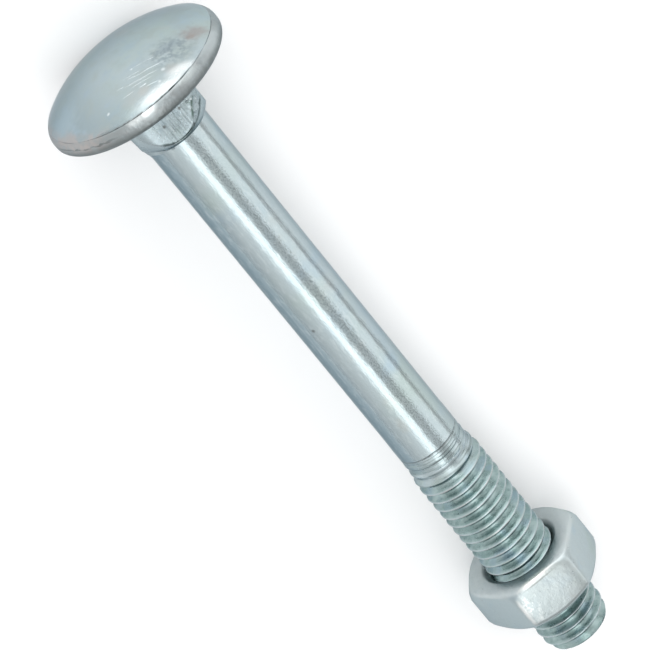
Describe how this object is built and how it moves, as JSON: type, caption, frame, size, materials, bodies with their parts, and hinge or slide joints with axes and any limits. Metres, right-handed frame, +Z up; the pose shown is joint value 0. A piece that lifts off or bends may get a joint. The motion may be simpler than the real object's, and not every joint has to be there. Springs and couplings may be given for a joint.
{
  "type": "carriage bolt with hexagon nut",
  "caption": "Zinc-plated carriage bolt lying at rest: shallow domed head, square neck, plain shank and rolled thread, with a hexagon nut run on near the tip.",
  "frame": {"origin": "centre of the bottom of the box around the bolt and nut as they lie, on the surface that carries them", "axes": "+X runs level along the bolt from its head to its tip, and the bolt's own axis dips 2.91 degrees below it; +Z is up"},
  "size_m": [0.0856, 0.0204, 0.0204],
  "materials": {
    "bolt_zinc": "bright blue-white zinc plate over drawn and rolled steel",
    "nut_zinc": "satin zinc plate over cold-formed steel"
  },
  "bodies": {
    "bolt": {"bolt": "bolt_zinc"},
    "nut": {"nut": "nut_zinc"}
  },
  "joints": [
    {"name": "nut_travel", "type": "slide", "parent": "bolt", "child": "nut", "axis": [0.9987, 0, -0.0507], "range_m": [-0.0125, 0.0125]}
  ]
}
